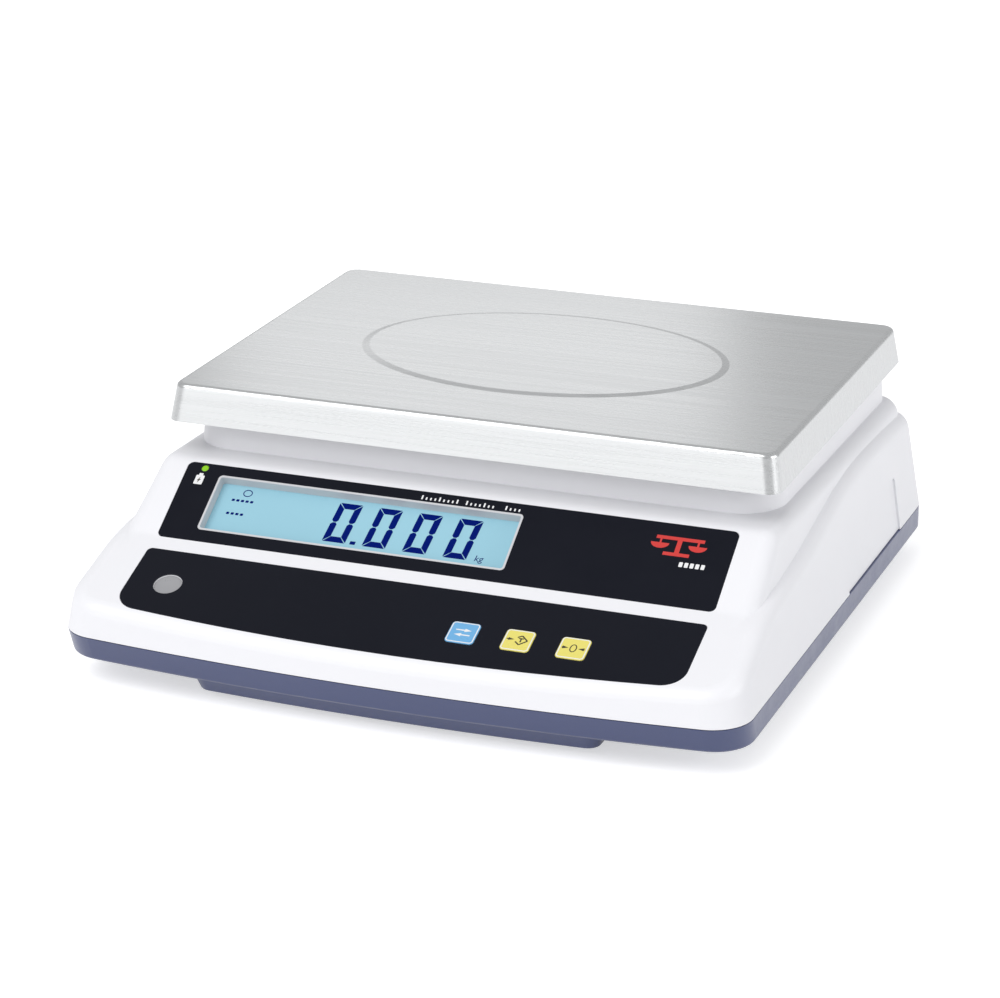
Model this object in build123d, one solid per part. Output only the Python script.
from build123d import *
import math
import os

os.makedirs("parts", exist_ok=True)

# ---------------------------------------------------------------- driving dimensions (mm)
# Overall housing
HALF_W = 160.0          # half width at the parting line
Y_FRONT = -161.0        # front of the bowed front edge, on the centre line
Y_REAR = 161.0          # rear wall at the parting line
BOW_R = 1350.0          # plan radius of the bowed front edge
FRONT_CORNER = 19.0     # plan radius of the front corners at the parting line
REAR_CORNER = 16.0
SEAM_Z = 25.0           # parting line between upper and lower housing
SEAM_GAP = 0.4          # visible reveal at the parting line
WALL = 2.5              # housing wall
TRAY_Z = 12.5           # underside of the lower housing
TRAY_FLOOR = 3.0
TRAY_UNDERCUT = 5.0     # backward slope of the tray front over its height
TRAY_EDGE = 2.0
FLOOR_TOP = TRAY_Z + TRAY_FLOOR

# Console faces, side profile in Y and Z
KEY_SLOPE = 20.3
DISP_SLOPE = 33.2
DISP_TOP = (-66.8, 81.2)     # upper edge of the display overlay
KEY_TOP = (-111.2, 54.5)     # upper edge of the keypad overlay
SHELF_FRONT_Z = 83.0
SHELF_REAR_Z = 79.0
CONSOLE_HALF = 153.5         # half width of the raised console at the parting line

# Plinth under the pan
PLINTH_HALF = 141.5
PLINTH_FRONT = -49.5
PLINTH_REAR = 150.0
PLINTH_TOP = 96.0

# Weighing pan
PAN_Y = 45.8
PAN_W = 294.0
PAN_D = 213.0
PAN_TOP = 115.0
PAN_SKIRT = 17.5
PAN_FLARE = 2.8
PAN_SHEET = 1.2
OVAL_A = 89.5
OVAL_B = 63.5
OVAL_RAISE = 0.6
OVAL_STEP = 3.5

# Display overlay and window, on the display face
DISP_W = 264.4
DISP_H = 43.6
OVERLAY_T = 0.5
POCKET_FIT = 0.15        # gap around each overlay in its pocket
WIN_X = -40.6
WIN_V = -21.2
WIN_W = 146.6
WIN_H = 29.4
RIM = 1.0
GLASS_DEPTH = 4.7
LED_X = -123.5
LED_V = -2.7
LED_D = 3.6

# Keypad overlay and keys, on the keypad face
KEY_W = 264.4
KEY_END_H = 39.6
KEY_MID_H = 46.3
KEY_SIZE = 13.2
KEY_V = -26.3
KEY_X = {"key_unit": 29.6, "key_tare": 54.8, "key_zero": 80.0}
KEY_TRAVEL = 0.5
PORT_X = -113.2
PORT_V = -21.8
PORT_D = 13.2

# Load cell
CELL_L = 130.0
CELL_W = 30.0
CELL_H = 22.0
CELL_Z = 52.0
CELL_BOLTS = (42.0, 57.0)
CARRIER_T = 8.0
PAD_T = 3.0
STOP_GAP = 0.6

# Feet
FOOT_X = 120.0
FOOT_FRONT_Y = -96.0
FOOT_REAR_Y = 125.0
FOOT_STUD_D = 8.0

# Battery compartment
BAT_L = 100.0
BAT_W = 70.0
BAT_H = 47.0
BAT_Y = -35.0
BAT_Z = 7.0
BULGE_HALF = 97.0
BULGE_Z = 4.0
BULGE_REAR = 18.0
COVER_T = 2.6

COVER_TOP = BULGE_Z + COVER_T
COVER_L = BAT_L + 12.0
COVER_W = BAT_W + 9.0

# Frame, boards and column positions
CELL_TOP = CELL_Z + CELL_H
SPACER_T = 3.0
COLUMN_X = 49.5
CARRIER_TOP = PAN_TOP - PAN_SHEET - PAD_T
FRAME_Z = 19.0
FRAME_Y = 51.0
BOARD_X = 104.0
BOARD_Y = -45.0
BOARD_Z = 24.0
BAY_DEPTH = 3.0         # recess around the switch and inlet
BAY_W = 64.0
BAY_H = 24.0
SWITCH_W = 19.4
SWITCH_H = 13.0
ROCKER_PIVOT = -1.6
ROCKER_TILT = 10.0
INLET_D = 11.0
BOARD_DROP = 10.6       # top of the display board below the overlay
KEY_BOARD_DROP = 7.9    # top of the key board below the overlay
SWITCH_GAP_Z = 4.6      # lower end of a key stem below the overlay
SIDE_LEAN = 0.15
FIELD_DEPTH = 1.0       # depth of the recessed field on each flank
REAR_LEAN = 0.085

FIT = 0.05              # radial running clearance

# ---------------------------------------------------------------- face frames
SIN_K = math.sin(math.radians(KEY_SLOPE))
COS_K = math.cos(math.radians(KEY_SLOPE))
SIN_D = math.sin(math.radians(DISP_SLOPE))
COS_D = math.cos(math.radians(DISP_SLOPE))
KEY_FACE = Plane(origin=(0, KEY_TOP[0], KEY_TOP[1]), x_dir=(1, 0, 0), z_dir=(0, -SIN_K, COS_K)).location
DISP_FACE = Plane(origin=(0, DISP_TOP[0], DISP_TOP[1]), x_dir=(1, 0, 0), z_dir=(0, -SIN_D, COS_D)).location


# ---------------------------------------------------------------- helpers
def cyl(d, z0, z1, x=0.0, y=0.0):
    return Pos(x, y, (z0 + z1) / 2) * Cylinder(d / 2, z1 - z0)


def cone(d0, d1, z0, z1, x=0.0, y=0.0):
    return Pos(x, y, (z0 + z1) / 2) * Cone(d0 / 2, d1 / 2, z1 - z0)


def box(x0, x1, y0, y1, z0, z1):
    return Pos((x0 + x1) / 2, (y0 + y1) / 2, (z0 + z1) / 2) * Box(x1 - x0, y1 - y0, z1 - z0)


def slab(w, h, r, z0, z1, x=0.0, y=0.0):
    """Plate with rounded plan corners."""
    return Pos(x, y, z0) * extrude(RectangleRounded(w, h, r), z1 - z0)


def hexagon(across, z0, z1, x=0.0, y=0.0):
    return Pos(x, y, z0) * extrude(RegularPolygon(across / 2, 6, major_radius=False), z1 - z0)


def cross_recess(w, depth, z):
    """Cross-shaped driver recess cut down from height z."""
    return Pos(0, 0, z - depth / 2) * (Box(w, w / 4, depth) + Box(w / 4, w, depth))


def pan_screw(d, length, head_d, head_h):
    """Pan-head screw pointing down, underside of the head at z = 0."""
    head = cyl(head_d, 0, head_h)
    head = fillet(head.edges().sort_by(Axis.Z)[-1], head_h * 0.45)
    shank = cyl(d, -length + d * 0.3, 0)
    tip = cone(d * 0.55, d, -length, -length + d * 0.3)
    return head + shank + tip - cross_recess(head_d * 0.55, head_h * 0.55, head_h)


def socket_screw(d, length, head_d, head_h):
    """Socket-head screw pointing down, underside of the head at z = 0."""
    head = cyl(head_d, 0, head_h)
    head = chamfer(head.edges().sort_by(Axis.Z)[-1], head_h * 0.08)
    shank = cyl(d, -length, 0)
    shank = chamfer(shank.edges().sort_by(Axis.Z)[0], d * 0.12)
    return head + shank - hexagon(d * 0.8, head_h * 0.45, head_h)


def save(name, shapes):
    """Write one node, as one solid or as a group of separate solids."""
    items = shapes if isinstance(shapes, list) else [shapes]
    solids = [s for item in items for s in item.solids()]
    body = solids[0] if len(solids) == 1 else Compound(children=solids)
    body.label = name
    export_step(body, f"parts/{name}.step")


def outline(inset, z, y_front=Y_FRONT, y_rear=Y_REAR, half_w=HALF_W,
            r_front=FRONT_CORNER, r_rear=REAR_CORNER):
    """Plan outline of the housing: straight sides and rear, bowed front."""
    w = half_w - inset
    front = y_front + inset
    rear = y_rear - inset
    sag = w * w / (2 * BOW_R)
    edges = [
        Line((-w, front + sag), (-w, rear)),
        Line((-w, rear), (w, rear)),
        Line((w, rear), (w, front + sag)),
        ThreePointArc((w, front + sag), (0, front), (-w, front + sag)),
    ]
    face = make_face(edges)
    fore = [v for v in face.vertices() if v.Y < 0]
    face = fillet(fore, max(r_front - inset, 2.0))
    aft = [v for v in face.vertices() if v.Y > rear - 0.01]
    face = fillet(aft, max(r_rear - inset, 2.0))
    return Pos(0, 0, z) * face


def side_profile(points, half):
    """Solid with a Y-Z outline, extruded to both sides of the centre plane."""
    return extrude(Plane.YZ * points, half, both=True)


def key_z(y):
    return KEY_TOP[1] + (y - KEY_TOP[0]) * math.tan(math.radians(KEY_SLOPE))


def bend_y():
    """Y where the keypad face meets the display face."""
    tk = math.tan(math.radians(KEY_SLOPE))
    td = math.tan(math.radians(DISP_SLOPE))
    return (KEY_TOP[1] - tk * KEY_TOP[0] - DISP_TOP[1] + td * DISP_TOP[0]) / (td - tk)


# ---------------------------------------------------------------- upper housing
def outer_body(t):
    """Lower, wider part of the upper housing with the side shoulders; t is the inward offset."""
    base = SEAM_Z - (1.0 if t else 0.0)
    rise = 60.0
    lean_front = 0.18
    low = outline(t, base)
    high = outline(
        t + SIDE_LEAN * rise, base + rise,
        y_front=Y_FRONT + (lean_front - SIDE_LEAN) * rise,
        y_rear=Y_REAR - (REAR_LEAN - SIDE_LEAN) * rise,
        r_front=FRONT_CORNER + SIDE_LEAN * rise, r_rear=REAR_CORNER + SIDE_LEAN * rise,
    )
    env = loft([low, high], ruled=True)
    d = t * 1.06
    start = (-175.0, key_z(-175.0) - d)
    knee = (-114.0, key_z(-114.0) - d)
    shoulder = [
        knee, (-92.0, 58.8 - d), (-60.0, 61.4 - d), (-22.0, 66.0 - d),
        (12.0, 71.6 - d), (50.0, 75.2 - d), (100.0, 74.6 - d), (175.0, 70.0 - d),
    ]
    curve = Spline(*shoulder, tangents=[(COS_K, SIN_K), (1.0, -0.07)])
    lines = [
        Line((-175.0, 0.0), start),
        Line(start, knee),
        curve,
        Line(shoulder[-1], (175.0, 0.0)),
        Line((175.0, 0.0), (-175.0, 0.0)),
    ]
    body = env & side_profile(make_face(lines), 170)
    crest = [
        e for e in body.edges()
        if e.bounding_box().min.Z > base + 1.0
        and (e.bounding_box().size.X < 250 or abs(e.center().Y) > 140)
    ]
    return fillet(crest, 8.0 - t)


def console_body(t):
    """Narrower raised part: display face and the shelf around the plinth."""
    base = SEAM_Z - (1.0 if t else 0.0)
    rise = 65.0
    lean = 0.1
    y_cut = -122.0 + t
    corners = [(CONSOLE_HALF - t, base), (CONSOLE_HALF - t - lean * rise, base + rise)]
    faces = []
    for half, z in corners:
        w_rear = 157.0 - t - (z - base) * 0.05
        plan = Polyline((-half, y_cut), (half, y_cut), (half, w_rear), (-half, w_rear), close=True)
        plate = make_face(plan)
        aft = [v for v in plate.vertices() if v.Y > 0]
        faces.append(Pos(0, 0, z) * fillet(aft, 15.0 - t))
    env = loft(faces, ruled=True)
    d = t * 1.1
    shelf_y = DISP_TOP[0] + (SHELF_FRONT_Z - DISP_TOP[1]) / math.tan(math.radians(DISP_SLOPE))
    pts = [
        (-175.0, 0.0), (-175.0, key_z(-175.0) - d), (bend_y(), key_z(bend_y()) - d),
        (shelf_y, SHELF_FRONT_Z - d), (175.0, SHELF_REAR_Z - d), (175.0, 0.0),
    ]
    prof = make_face(Polyline(*pts, close=True))
    bend = [v for v in prof.vertices() if abs(v.X - bend_y()) < 0.5]
    prof = fillet(bend, 12.0)
    brow = [v for v in prof.vertices() if abs(v.X - shelf_y) < 0.5]
    prof = fillet(brow, 12.0 - t)
    body = env & side_profile(prof, 170)
    crest = [
        e for e in body.edges()
        if e.bounding_box().min.Z > base + 1.0
        and e.bounding_box().size.X < 250
        and abs(e.center().X) > 100
        and e.center().Y > y_cut + 0.5
    ]
    rear_top = [
        e for e in body.edges()
        if e.center().Y > 150 and e.center().Z > 70 and e.bounding_box().size.X > 250
    ]
    return fillet(crest + rear_top, 8.0 - t)


def plinth_body(t):
    """Raised block directly under the pan."""
    z0 = 70.0
    z1 = PLINTH_TOP - t
    faces = []
    for z in (z0, z1):
        lean = (z - 83.0) * 0.05 + t
        w = 2 * (PLINTH_HALF - lean)
        y0 = PLINTH_FRONT + lean
        y1 = PLINTH_REAR - lean
        plate = Pos(0, (y0 + y1) / 2) * Rectangle(w, y1 - y0)
        fore = [v for v in plate.vertices() if v.Y < 0]
        plate = fillet(fore, 22.0 - t)
        aft = [v for v in plate.vertices() if v.Y > y1 - 0.01]
        faces.append(Pos(0, 0, z) * fillet(aft, 14.0 - t))
    body = loft(faces, ruled=True)
    return fillet(body.faces().sort_by(Axis.Z)[-1].edges(), 3.5 - t)


def keypad_outline(grow=0.0):
    """Keypad overlay: straight top, bowed lower edge with large lower corners."""
    w = KEY_W / 2 + grow
    top = grow
    end = -KEY_END_H - grow
    mid = -KEY_MID_H - grow
    lines = [
        Line((-w, top), (w, top)),
        Line((w, top), (w, end)),
        ThreePointArc((w, end), (0, mid), (-w, end)),
        Line((-w, end), (-w, top)),
    ]
    face = make_face(lines)
    face = fillet([v for v in face.vertices() if v.Y > -5], 2.5)
    return fillet([v for v in face.vertices() if v.Y < -30], 11.0)


def display_outline(grow=0.0):
    return Pos(0, -DISP_H / 2) * RectangleRounded(DISP_W + 2 * grow, DISP_H + 2 * grow, 3.0)


LED_BOARD_SCREWS = ((-124.0, -38.5), (-124.0, -13.0), (43.5, -7.0), (43.5, -38.5))
KEY_BOARD_SCREWS = ((13.0, -17.0), (97.0, -17.0), (13.0, -36.0), (97.0, -36.0))
CASE_SCREWS = tuple((sx * 141.0, y) for sx in (-1, 1) for y in (-122.0, 20.0, 138.0))
PADS = tuple((sx * 112.0, PAN_Y + sy * 78.0) for sx in (1, -1) for sy in (-1, 1))
FRAME_SCREWS = tuple((sx * 108.0, FRAME_Y + sy * 34.0) for sx in (-1, 1) for sy in (-1, 1))
BOARD_SCREWS = tuple((BOARD_X + sx * 35.0, BOARD_Y + sy * 34.0) for sx in (-1, 1) for sy in (-1, 1))
FEET = {
    "fl": (-FOOT_X, FOOT_FRONT_Y),
    "fr": (FOOT_X, FOOT_FRONT_Y),
    "rl": (-FOOT_X, FOOT_REAR_Y),
    "rr": (FOOT_X, FOOT_REAR_Y),
}


def rear_frame(x, z, depth):
    """Frame below the outside of the rear wall, +Z pointing out of the wall."""
    lean = math.atan(REAR_LEAN)
    y = Y_REAR - (z - SEAM_Z) * REAR_LEAN - depth * math.cos(lean)
    z = z - depth * math.sin(lean)
    return Plane(origin=(x, y, z), x_dir=(-1, 0, 0), z_dir=(0, math.cos(lean), math.sin(lean))).location


BAY_AT = rear_frame(-81.0, 48.0, BAY_DEPTH)
SWITCH_AT = rear_frame(-95.0, 48.0, BAY_DEPTH)
INLET_AT = rear_frame(-64.0, 48.0, BAY_DEPTH)


def top_housing():
    outer = outer_body(0) + console_body(0) + plinth_body(0)
    shell = outer - outer_body(WALL) - console_body(WALL) - plinth_body(WALL)
    # bosses for the two boards and the screw posts
    posts = []
    for x, v in LED_BOARD_SCREWS:
        posts.append(DISP_FACE * cyl(6.0, -BOARD_DROP, -1.5, x, v))
    for x, v in KEY_BOARD_SCREWS:
        posts.append(KEY_FACE * cyl(5.6, -KEY_BOARD_DROP, -1.5, x, v))
    for x, y in CASE_SCREWS:
        posts.append(cyl(9.0, 22.3, 78.0, x, y))
    posts.append(BAY_AT * slab(BAY_W + 2 * WALL, BAY_H + 2 * WALL, 5.0, -WALL, BAY_DEPTH))
    for p in posts:
        shell = shell + (p & outer)
    shell = shell - BAY_AT * slab(BAY_W, BAY_H, 3.0, 0, BAY_DEPTH + 2)
    # shallow pockets for the two overlays
    pocket = Pos(0, 0, -OVERLAY_T)
    shell = shell - DISP_FACE * pocket * extrude(display_outline(POCKET_FIT), OVERLAY_T + 2)
    shell = shell - KEY_FACE * pocket * extrude(keypad_outline(POCKET_FIT), OVERLAY_T + 2)
    # window, charge light, keys and port openings
    shell = shell - DISP_FACE * slab(WIN_W + 2 * RIM + 0.3, WIN_H + 2 * RIM + 0.3, 2.2, -7, 1, WIN_X, WIN_V)
    shell = shell - DISP_FACE * cyl(LED_D + 0.2, -7, 1, LED_X, LED_V)
    for x in KEY_X.values():
        shell = shell - KEY_FACE * slab(KEY_SIZE + 0.3, KEY_SIZE + 0.3, 2.0, -7, 1, x, KEY_V)
    shell = shell - KEY_FACE * cyl(PORT_D - 0.4, -7, 1, PORT_X, PORT_V)
    # opening for the load-cell column
    shell = shell - slab(50, 44, 5, 85, 100, 50, PAN_Y)
    # screw bores
    for x, v in LED_BOARD_SCREWS:
        shell = shell - DISP_FACE * cyl(2.5 + 2 * FIT, -BOARD_DROP - 1, -2.6, x, v)
    for x, v in KEY_BOARD_SCREWS:
        shell = shell - KEY_FACE * cyl(2.5 + 2 * FIT, -KEY_BOARD_DROP - 1, -2.6, x, v)
    for x, y in CASE_SCREWS:
        shell = shell - cyl(3.5 + 2 * FIT, 20, 40, x, y)
    # rear switch and inlet openings
    shell = shell - SWITCH_AT * box(-SWITCH_W / 2, SWITCH_W / 2, -SWITCH_H / 2, SWITCH_H / 2, -8, 2)
    shell = shell - INLET_AT * cyl(INLET_D + 0.2, -8, 2)
    # shallow recessed field on both flanks, running down to the parting line
    for s in (-1, 1):
        shell = shell - flank_field(s)
    return shell


def flank_field(s):
    """Shallow slab just inside the leaning side wall."""
    lean = math.atan(SIDE_LEAN)
    plate = extrude(Pos(s * 64.0, 10.0) * RectangleRounded(92.5, 34.0, 3.0), 3.0, both=True)
    frame = Plane(origin=(s * (HALF_W + 3.0 - FIELD_DEPTH), 0, SEAM_Z), x_dir=(0, s, 0),
                  z_dir=(s * math.cos(lean), 0, math.sin(lean))).location
    return frame * plate


# ---------------------------------------------------------------- lower housing
def battery_box():
    """Moulded battery compartment, open downwards."""
    wall = 2.2
    length = BAT_L + 4.0
    width = BAT_W + 4.0
    roof = BAT_Z + BAT_H + 1.0
    outer = slab(length + 2 * wall, width + 2 * wall, 3.0, COVER_TOP, roof + wall, 0, BAT_Y)
    collar = slab(length + 16, width + 12, 5.0, COVER_TOP, COVER_TOP + 2.4, 0, BAT_Y)
    return outer + collar


def battery_void():
    length = BAT_L + 4.0
    width = BAT_W + 4.0
    inside = slab(length, width, 1.5, COVER_TOP - 0.5, BAT_Z + BAT_H + 1.0, 0, BAT_Y)
    recess = slab(COVER_L + 0.5, COVER_W + 0.5, 4.2, BULGE_Z - 1, COVER_TOP, 0, BAT_Y)
    return inside + recess


def bulge_outline(inset, z, y_front):
    """Plan outline of the deeper field below the tray."""
    return outline(inset, z, y_front=y_front, y_rear=BULGE_REAR, half_w=BULGE_HALF, r_front=9.0, r_rear=9.0)


def base_housing():
    rim = SEAM_Z - SEAM_GAP
    outer = loft([outline(0, rim), outline(0, TRAY_Z, y_front=Y_FRONT + TRAY_UNDERCUT)], ruled=True)
    outer = fillet(outer.faces().sort_by(Axis.Z)[0].edges(), TRAY_EDGE)
    bulge = loft([
        bulge_outline(0, TRAY_Z + 4.5, -155.0),
        bulge_outline(3.0, BULGE_Z, -150.5),
    ], ruled=True)
    bulge = fillet(bulge.faces().sort_by(Axis.Z)[0].edges(), 1.5)
    tongue = extrude(outline(3.3, SEAM_Z - 6.0), 8.6)
    body = outer + bulge + tongue
    body = body - extrude(outline(4.5, FLOOR_TOP, y_front=Y_FRONT + TRAY_UNDERCUT - 1.0), 20.0)
    body = body - extrude(bulge_outline(9.0, BULGE_Z + 3.0, -151.0), 12.0)
    body = body + battery_box()
    for x, y in FRAME_SCREWS:
        body = body + cyl(10.0, FLOOR_TOP - 1, FRAME_Z, x, y)
    for x, y in BOARD_SCREWS:
        body = body + cyl(7.0, FLOOR_TOP - 1, BOARD_Z, x, y)
    for x, y in CASE_SCREWS:
        body = body + cyl(11.0, FLOOR_TOP - 1, 22.0, x, y)
    for x, y in FEET.values():
        body = body + cyl(18.0, FLOOR_TOP - 1, 30.0, x, y)
    body = body - battery_void()
    for x, y in FRAME_SCREWS:
        body = body - cyl(4.0 + 2 * FIT, 13.6, FRAME_Z + 1, x, y)
    for x, y in BOARD_SCREWS:
        body = body - cyl(3.0 + 2 * FIT, 16.5, BOARD_Z + 1, x, y)
    for x, y in CASE_SCREWS:
        body = body - cyl(4.2, 10, 23, x, y) - cyl(8.0, 10, 17.0, x, y)
    for x, y in FEET.values():
        body = body - cyl(FOOT_STUD_D + 1.0, 10, 31, x, y) - hexagon(12.0, 17.0, 31, x, y)
    return body


def battery_cover():
    plate = slab(COVER_L, COVER_W, 4.0, BULGE_Z, COVER_TOP - 0.1, 0, BAT_Y)
    ribs = [box(-40, 40, BAT_Y + dy - 1, BAT_Y + dy + 1, COVER_TOP - 0.5, BAT_Z - 0.05) for dy in (-20, 20)]
    for r in ribs:
        plate = plate + r
    for i in range(5):
        plate = plate - box(-14, 14, BAT_Y - 33 + 2.4 * i, BAT_Y - 32 + 2.4 * i, BULGE_Z - 1, BULGE_Z + 0.5)
    return plate


def foot_pad(x, y):
    """Rubber pad with a waisted side and a socket for the screw end."""
    prof = Polyline((0, 0), (12.4, 0), (13.0, 0.7), (12.0, 5.6), (12.6, 7.0), (0, 7.0), close=True)
    pad = revolve(Plane.XZ * make_face(prof), Axis.Z)
    pad = pad - cyl(6.0 + 2 * FIT, 3.0, 8.0)
    return Pos(x, y, 0) * pad


def foot_screw(x, y):
    """Levelling screw: stud, fluted hand wheel and a plain end in the pad."""
    wheel = cyl(27.0, 7.3, 12.1)
    wheel = chamfer(wheel.edges().group_by(Axis.Z)[0] + wheel.edges().group_by(Axis.Z)[-1], 0.6)
    for i in range(12):
        wheel = wheel - Rot(0, 0, 30 * i) * cyl(3.0, 7, 13, 14.2, 0)
    stud = cyl(FOOT_STUD_D, 12.0, 33.0)
    stud = chamfer(stud.edges().sort_by(Axis.Z)[-1], 1.0)
    for i in range(14):
        stud = stud - Pos(0, 0, 15.0 + 1.25 * i) * (cyl(9.0, -0.2, 0.2) - cyl(7.2, -0.3, 0.3))
    return Pos(x, y, 0) * (wheel + stud + cyl(6.0, 3.4, 7.4))


def foot_inserts():
    return [
        hexagon(11.9, 17.1, 29.6, x, y) - cyl(FOOT_STUD_D + 2 * FIT, 16, 31, x, y)
        for x, y in FEET.values()
    ]


# ---------------------------------------------------------------- weighing mechanism
def pan_block(inset, top_z, low_z, r_top):
    """Flared block used for both faces of the pan sheet."""
    slope = PAN_FLARE / PAN_SKIRT
    faces = []
    for z in (low_z, top_z):
        lean = (z - (PAN_TOP - PAN_SKIRT)) * slope
        w = PAN_W - 2 * (inset + lean)
        d = PAN_D - 2 * (inset + lean)
        faces.append(Pos(0, PAN_Y, z) * RectangleRounded(w, d, 7.0 - inset))
    block = loft(faces, ruled=True)
    return fillet(block.faces().sort_by(Axis.Z)[-1].edges(), r_top)


def oval_step(z):
    low = Pos(0, PAN_Y, z) * Ellipse(OVAL_A, OVAL_B)
    high = Pos(0, PAN_Y, z + OVAL_RAISE) * Ellipse(OVAL_A - OVAL_STEP, OVAL_B - OVAL_STEP)
    return loft([low, high])


def weighing_pan():
    skirt_z = PAN_TOP - PAN_SKIRT
    pan = pan_block(0, PAN_TOP, skirt_z, 2.4) - pan_block(PAN_SHEET, PAN_TOP - PAN_SHEET, skirt_z - 1, 1.2)
    pan = pan + oval_step(PAN_TOP)
    return pan - oval_step(PAN_TOP - PAN_SHEET)


def pan_pads():
    pads = []
    for x, y in PADS:
        disc = cyl(16.0, CARRIER_TOP, CARRIER_TOP + PAD_T, x, y)
        disc = fillet(disc.edges().sort_by(Axis.Z)[-1], 0.8)
        pads.append(disc + cyl(6.0, CARRIER_TOP - 5.0, CARRIER_TOP + 0.5, x, y))
    return pads


def bar(x0, y0, x1, y1, w, z0, z1):
    """Straight bar of width w between two plan points."""
    length = math.hypot(x1 - x0, y1 - y0)
    turn = math.degrees(math.atan2(y1 - y0, x1 - x0))
    return Pos((x0 + x1) / 2, (y0 + y1) / 2, (z0 + z1) / 2) * Rot(0, 0, turn) * Box(length, w, z1 - z0)


def platform_carrier():
    low = CARRIER_TOP - CARRIER_T
    hub = slab(146, 62, 8, low, CARRIER_TOP, 0, PAN_Y)
    for x, y in PADS:
        sx = math.copysign(1, x)
        sy = math.copysign(1, y - PAN_Y)
        arm = bar(sx * 48, PAN_Y + sy * 18, x, y, 20, low, CARRIER_TOP)
        hub = hub + arm + cyl(26, low, CARRIER_TOP, x, y)
    for sy in (-1, 1):
        rail_y = PAN_Y + sy * 78
        hub = hub + box(-PADS[0][0], PADS[0][0], rail_y - 4, rail_y + 4, low, CARRIER_TOP)
    for x in (-42, 0):
        hub = hub - slab(30, 42, 5, low - 1, CARRIER_TOP - 2.5, x - 8, PAN_Y)
    hub = hub + slab(34, 30, 3, CELL_TOP + SPACER_T, low + 1, COLUMN_X, PAN_Y)
    for x, y in PADS:
        hub = hub - cyl(6.0 + 2 * FIT, low - 1, CARRIER_TOP + 1, x, y)
    for x in CELL_BOLTS:
        hub = hub - cyl(6.5, 60, 120, x, PAN_Y) - cyl(11.0, CARRIER_TOP - 7.0, 120, x, PAN_Y)
    return hub


def cell_spacer(x, z):
    plate = box(x - 16, x + 16, PAN_Y - CELL_W / 2, PAN_Y + CELL_W / 2, z, z + SPACER_T)
    for b in CELL_BOLTS:
        plate = plate - cyl(6.5, z - 1, z + SPACER_T + 1, math.copysign(b, x), PAN_Y)
    return plate


def load_cell():
    """Single-point aluminium cell with a binocular cut-out."""
    mid = CELL_Z + CELL_H / 2
    bar_body = box(-CELL_L / 2, CELL_L / 2, PAN_Y - CELL_W / 2, PAN_Y + CELL_W / 2, CELL_Z, CELL_TOP)
    bar_body = chamfer(bar_body.edges().filter_by(Axis.X), 0.6)
    for x in (-17, 17):
        bar_body = bar_body - Pos(x, PAN_Y, mid) * Rot(90, 0, 0) * Cylinder(8.8, CELL_W + 2)
    bar_body = bar_body - Pos(0, PAN_Y, mid) * Box(34, CELL_W + 2, 6)
    for b in CELL_BOLTS:
        bar_body = bar_body - cyl(6.0 + 2 * FIT, CELL_Z - 1, CELL_Z + 13, -b, PAN_Y)
        bar_body = bar_body - cyl(6.0 + 2 * FIT, CELL_TOP - 13, CELL_TOP + 1, b, PAN_Y)
    return bar_body


def strain_gauges():
    return [
        Pos(x, PAN_Y, z) * Box(12, 9, 0.5)
        for x in (-17, 17) for z in (CELL_Z - 0.25, CELL_TOP + 0.25)
    ]


def cell_carrier_screws():
    seat = CARRIER_TOP - 7.0
    return [Pos(x, PAN_Y, seat) * socket_screw(6.0, seat - CELL_TOP + 11, 10.0, 6.0) for x in CELL_BOLTS]


def cell_base_screws():
    seat = 36.0
    length = CELL_Z + 11 - seat
    return [Pos(-x, PAN_Y, seat) * Rot(180, 0, 0) * socket_screw(6.0, length, 10.0, 6.0) for x in CELL_BOLTS]


def base_frame():
    """Cast frame with a pedestal for the fixed end of the cell and a stop boss."""
    plate = slab(234, 88, 8, FRAME_Z, FRAME_Z + 3, 0, FRAME_Y)
    rim = slab(234, 88, 8, FRAME_Z, FRAME_Z + 8, 0, FRAME_Y)
    rim = rim - slab(228, 82, 6, FRAME_Z - 1, FRAME_Z + 9, 0, FRAME_Y)
    frame = plate + rim
    frame = frame + slab(36, 36, 4, FRAME_Z, CELL_Z - SPACER_T, -COLUMN_X, PAN_Y)
    frame = frame + cyl(18, FRAME_Z, 34, COLUMN_X, PAN_Y)
    for sy in (-1, 1):
        rib_y = PAN_Y + sy * 12
        frame = frame + box(-105, 105, rib_y - 1.5, rib_y + 1.5, FRAME_Z, FRAME_Z + 8)
    for x in CELL_BOLTS:
        frame = frame - cyl(6.5, 0, 60, -x, PAN_Y) - cyl(11.0, 0, 36.0, -x, PAN_Y)
    frame = frame - cyl(6.0 + 2 * FIT, 0, 40, COLUMN_X, PAN_Y)
    for x, y in FRAME_SCREWS:
        frame = frame - cyl(4.4, 0, 40, x, y)
    return frame


def overload_stop():
    tip = CELL_Z - STOP_GAP
    rod = cyl(6.0, FRAME_Z + 4, tip, COLUMN_X, PAN_Y)
    rod = chamfer(rod.edges().group_by(Axis.Z)[-1], 0.7)
    return rod - hexagon(3.0, FRAME_Z + 3, FRAME_Z + 8, COLUMN_X, PAN_Y)


def overload_nut():
    nut = hexagon(10.0, 34.0, 39.0, COLUMN_X, PAN_Y)
    return nut - cyl(6.0 + 2 * FIT, 33, 40, COLUMN_X, PAN_Y)


# ---------------------------------------------------------------- display
def display_overlay():
    sheet = extrude(display_outline(), -OVERLAY_T)
    sheet = sheet - slab(WIN_W + 2 * RIM + 0.1, WIN_H + 2 * RIM + 0.1, 2.05, -2, 1, WIN_X, WIN_V)
    return DISP_FACE * (sheet - cyl(LED_D + 0.1, -2, 1, LED_X, LED_V))


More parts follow.
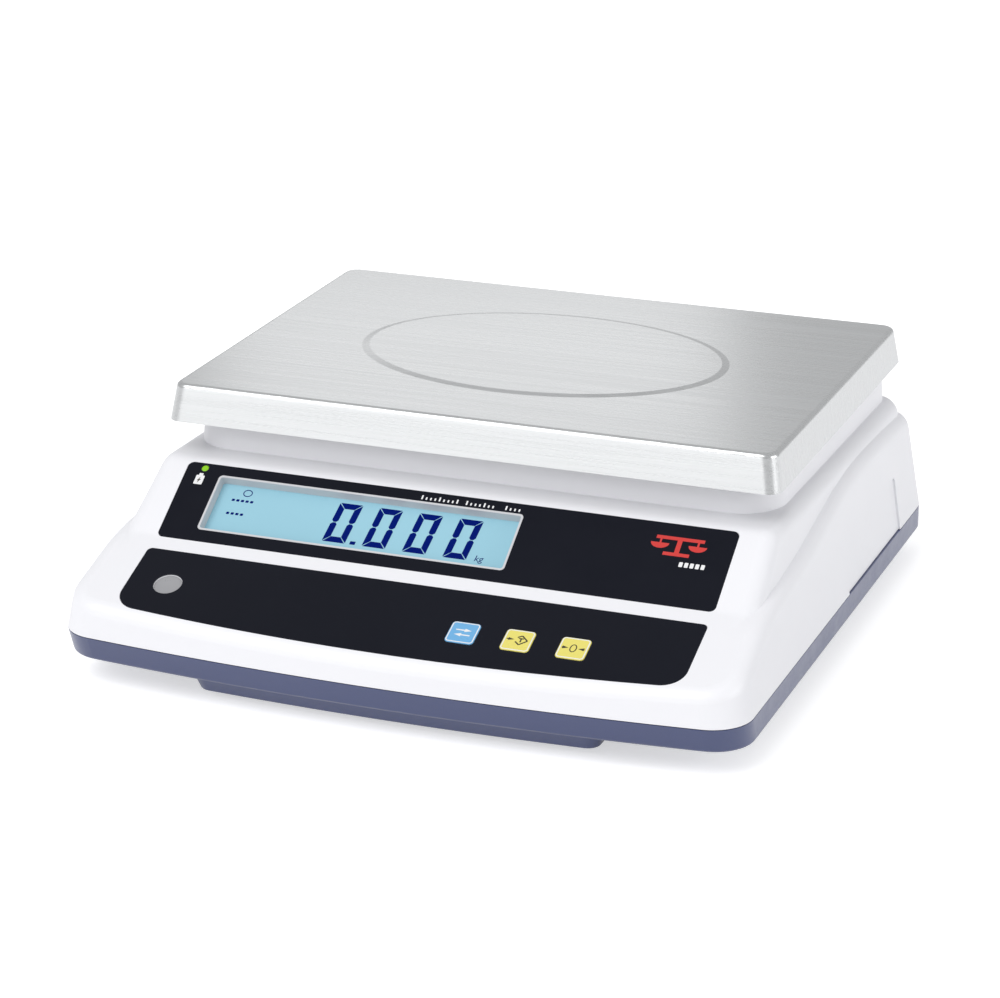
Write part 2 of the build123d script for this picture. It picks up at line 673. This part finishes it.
def lcd_bezel():
    ring = slab(WIN_W + 2 * RIM, WIN_H + 2 * RIM, 2.0, -GLASS_DEPTH, 0, WIN_X, WIN_V)
    ring = ring + slab(WIN_W + 9, WIN_H + 8, 3.0, -GLASS_DEPTH, -3.0, WIN_X, WIN_V)
    return DISP_FACE * (ring - slab(WIN_W, WIN_H, 1.2, -GLASS_DEPTH - 1, 1, WIN_X, WIN_V))


def lcd_glass():
    return DISP_FACE * slab(WIN_W + 6, WIN_H + 5, 0.6, -GLASS_DEPTH - 2.8, -GLASS_DEPTH, WIN_X, WIN_V)


def lcd_backlight():
    return DISP_FACE * slab(WIN_W + 6, WIN_H + 5, 0.6, -BOARD_DROP, -GLASS_DEPTH - 2.8, WIN_X, WIN_V)


def display_board():
    plate = box(-128.5, 48.0, -42.0, -0.6, -BOARD_DROP - 1.6, -BOARD_DROP)
    for x, v in LED_BOARD_SCREWS:
        plate = plate - cyl(2.8, -BOARD_DROP - 3, -BOARD_DROP + 1, x, v)
    for x in (-90, -40, 10):
        plate = plate + box(x, x + 12, -28, -16, -BOARD_DROP - 3.2, -BOARD_DROP - 1.5)
    return DISP_FACE * plate


def board_screws_on(face, places, drop):
    turned = Rot(180, 0, 0) * pan_screw(2.5, 6.0, 4.6, 1.8)
    return [face * Pos(x, v, -drop - 1.6) * turned for x, v in places]


def charge_led():
    lamp = cyl(LED_D, -BOARD_DROP, -0.1, LED_X, LED_V)
    return DISP_FACE * fillet(lamp.edges().sort_by(Axis.Z)[-1], 0.5)


# ---------------------------------------------------------------- keypad
def keypad_overlay():
    sheet = extrude(keypad_outline(), -OVERLAY_T)
    for x in KEY_X.values():
        sheet = sheet - slab(KEY_SIZE + 0.3, KEY_SIZE + 0.3, 2.0, -2, 1, x, KEY_V)
    return KEY_FACE * (sheet - cyl(PORT_D, -2, 1, PORT_X, PORT_V))


def key_cap(x):
    cap = slab(KEY_SIZE, KEY_SIZE, 1.85, -2.2, 0.35)
    cap = fillet(cap.faces().sort_by(Axis.Z)[-1].edges(), 0.3)
    neck = slab(11.0, 11.0, 1.5, -3.2, -2.0)
    lip = slab(15.2, 11.0, 1.0, -3.8, -3.1)
    stem = cyl(4.0, -SWITCH_GAP_Z, -3.6)
    return KEY_FACE * Pos(x, KEY_V, 0) * (cap + neck + lip + stem)


def key_switches():
    parts = []
    for x in KEY_X.values():
        base = slab(6.2, 6.2, 0.6, -KEY_BOARD_DROP, -KEY_BOARD_DROP + 2.0)
        top = cyl(3.4, -KEY_BOARD_DROP + 1.8, -SWITCH_GAP_Z - KEY_TRAVEL - 0.05)
        parts.append(KEY_FACE * Pos(x, KEY_V, 0) * (base + top))
    return parts


def keypad_board():
    plate = box(6.0, 104.0, -40.0, -13.0, -KEY_BOARD_DROP - 1.6, -KEY_BOARD_DROP)
    for x, v in KEY_BOARD_SCREWS:
        plate = plate - cyl(2.8, -KEY_BOARD_DROP - 3, -KEY_BOARD_DROP + 1, x, v)
    return KEY_FACE * plate


def level_port_plug():
    """Plain blanking plug with a shallow dished face."""
    plug = cyl(PORT_D - 0.6, -4.2, -0.9) + cyl(16.0, -4.6, -3.1)
    dish_r = 26.0
    sag = dish_r - math.sqrt(dish_r ** 2 - (PORT_D / 2 - 1.0) ** 2)
    plug = plug - Pos(0, 0, -0.9 - sag + dish_r) * Sphere(dish_r)
    return KEY_FACE * Pos(PORT_X, PORT_V, 0) * plug


# ---------------------------------------------------------------- electronics and power
def main_board():
    plate = slab(80, 78, 2, BOARD_Z, BOARD_Z + 1.6, BOARD_X, BOARD_Y)
    for x, y in BOARD_SCREWS:
        plate = plate - cyl(3.3, BOARD_Z - 1, BOARD_Z + 3, x, y)
    return plate


def board_capacitors():
    spots = ((-24, 22, 10.0, 17.0), (-10, 24, 10.0, 17.0), (4, 24, 8.0, 12.0))
    caps = []
    for dx, dy, d, h in spots:
        can = cyl(d, BOARD_Z + 1.6, BOARD_Z + 1.6 + h, BOARD_X + dx, BOARD_Y + dy)
        caps.append(fillet(can.edges().sort_by(Axis.Z)[-1], 0.6))
    return caps


def board_chips():
    spots = ((-12, -8, 14, 14), (10, -6, 10, 8), (-26, -4, 6, 5))
    return [
        box(BOARD_X + x - w / 2, BOARD_X + x + w / 2, BOARD_Y + y - d / 2, BOARD_Y + y + d / 2,
            BOARD_Z + 1.6, BOARD_Z + 3.8)
        for x, y, w, d in spots
    ]


def board_connectors():
    plugs = []
    for i in range(4):
        x = BOARD_X - 20 + 14 * i
        shell = box(x - 5.5, x + 5.5, BOARD_Y - 36, BOARD_Y - 30, BOARD_Z + 1.6, BOARD_Z + 8.6)
        plugs.append(shell - box(x - 4.5, x + 4.5, BOARD_Y - 35, BOARD_Y - 31, BOARD_Z + 3.2, BOARD_Z + 9))
    return plugs


def battery():
    block = slab(BAT_L, BAT_W, 2.0, BAT_Z, BAT_Z + BAT_H - 3.0, 0, BAT_Y)
    lid = slab(BAT_L - 3, BAT_W - 3, 2.0, BAT_Z + BAT_H - 3.2, BAT_Z + BAT_H, 0, BAT_Y)
    body = block + lid
    for x in (-40, 40):
        body = body - box(x - 5, x + 5, BAT_Y + 18, BAT_Y + 28, BAT_Z + BAT_H - 4, BAT_Z + BAT_H + 1)
    return body


def battery_terminals():
    tabs = []
    for x in (-40, 40):
        foot = box(x - 3.2, x + 3.2, BAT_Y + 20, BAT_Y + 26, BAT_Z + BAT_H - 4, BAT_Z + BAT_H - 3)
        blade = box(x - 3.2, x + 3.2, BAT_Y + 22.6, BAT_Y + 23.4, BAT_Z + BAT_H - 4, BAT_Z + BAT_H - 0.2)
        tabs.append(foot + blade)
    return tabs


def battery_foam():
    return [slab(40, 50, 2, BAT_Z + BAT_H, BAT_Z + BAT_H + 1.0, 0, BAT_Y)]


def switch_body():
    flange = slab(22.0, 15.4, 1.5, 0, 1.6)
    core = box(-SWITCH_W / 2 + 0.2, SWITCH_W / 2 - 0.2, -SWITCH_H / 2 + 0.2, SWITCH_H / 2 - 0.2, -13, 0.5)
    shell = flange + core - box(-7.6, 7.6, -4.6, 4.6, -6.4, 3)
    for x in (-5, 5):
        shell = shell + box(x - 2.4, x + 2.4, -0.4, 0.4, -20, -12.5)
    return SWITCH_AT * shell


def power_rocker():
    """Rocker turned about a pin across its width, shown switched off."""
    drum = Rot(90, 0, 0) * Cylinder(7.2, 8.8)
    prof = Polyline((-8, -2.6), (8, -2.6), (8, 4.2), (0, 2.9), (-8, 4.2), close=True)
    wedge = extrude(Plane.XZ * make_face(prof), 6, both=True)
    return SWITCH_AT * Pos(0, 0, ROCKER_PIVOT) * Rot(0, -ROCKER_TILT, 0) * (drum & wedge)


def dc_inlet():
    barrel = cyl(14.0, 0, 1.5) + cyl(INLET_D, -10, 0.5) - cyl(6.4, -8.5, 2)
    return INLET_AT * barrel


def dc_pin():
    pin = cyl(2.0, -8.5, -1.0)
    return INLET_AT * fillet(pin.edges().sort_by(Axis.Z)[-1], 0.6)


def inlet_nut():
    return INLET_AT * (hexagon(14.0, -6.5, -3.6) - cyl(INLET_D + 2 * FIT, -8, 0))


def case_screws():
    return [Pos(x, y, 17.0) * Rot(180, 0, 0) * pan_screw(3.5, 16.0, 7.0, 2.4) for x, y in CASE_SCREWS]


def frame_screws():
    return [Pos(x, y, FRAME_Z + 3) * pan_screw(4.0, 8.0, 8.0, 2.6) for x, y in FRAME_SCREWS]


def main_board_screws():
    return [Pos(x, y, BOARD_Z + 1.6) * pan_screw(3.0, 8.0, 5.6, 2.0) for x, y in BOARD_SCREWS]


# ---------------------------------------------------------------- build
def build():
    nodes = {
        "top_housing": top_housing(),
        "base_housing": base_housing(),
        "battery_cover": battery_cover(),
        "foot_inserts": foot_inserts(),
        "pan": weighing_pan(),
        "pan_pads": pan_pads(),
        "platform_carrier": platform_carrier(),
        "cell_spacer_upper": cell_spacer(COLUMN_X, CELL_TOP),
        "cell_spacer_lower": cell_spacer(-COLUMN_X, CELL_Z - SPACER_T),
        "load_cell": load_cell(),
        "strain_gauges": strain_gauges(),
        "cell_carrier_screws": cell_carrier_screws(),
        "cell_base_screws": cell_base_screws(),
        "base_frame": base_frame(),
        "overload_stop": overload_stop(),
        "overload_nut": overload_nut(),
        "frame_screws": frame_screws(),
        "case_screws": case_screws(),
        "display_overlay": display_overlay(),
        "lcd_bezel": lcd_bezel(),
        "lcd_glass": lcd_glass(),
        "lcd_backlight": lcd_backlight(),
        "display_board": display_board(),
        "display_board_screws": board_screws_on(DISP_FACE, LED_BOARD_SCREWS, BOARD_DROP),
        "charge_led": charge_led(),
        "keypad_overlay": keypad_overlay(),
        "key_switches": key_switches(),
        "keypad_board": keypad_board(),
        "keypad_board_screws": board_screws_on(KEY_FACE, KEY_BOARD_SCREWS, KEY_BOARD_DROP),
        "level_port_plug": level_port_plug(),
        "main_board": main_board(),
        "main_board_screws": main_board_screws(),
        "board_capacitors": board_capacitors(),
        "board_chips": board_chips(),
        "board_connectors": board_connectors(),
        "battery": battery(),
        "battery_terminals": battery_terminals(),
        "battery_foam": battery_foam(),
        "switch_body": switch_body(),
        "power_rocker": power_rocker(),
        "dc_inlet": dc_inlet(),
        "dc_pin": dc_pin(),
        "inlet_nut": inlet_nut(),
    }
    for name, x in KEY_X.items():
        nodes[name] = key_cap(x)
    for corner, (x, y) in FEET.items():
        nodes[f"foot_pad_{corner}"] = foot_pad(x, y)
        nodes[f"foot_screw_{corner}"] = foot_screw(x, y)
    for name, shape in nodes.items():
        save(name, shape)


if __name__ == "__main__":
    build()
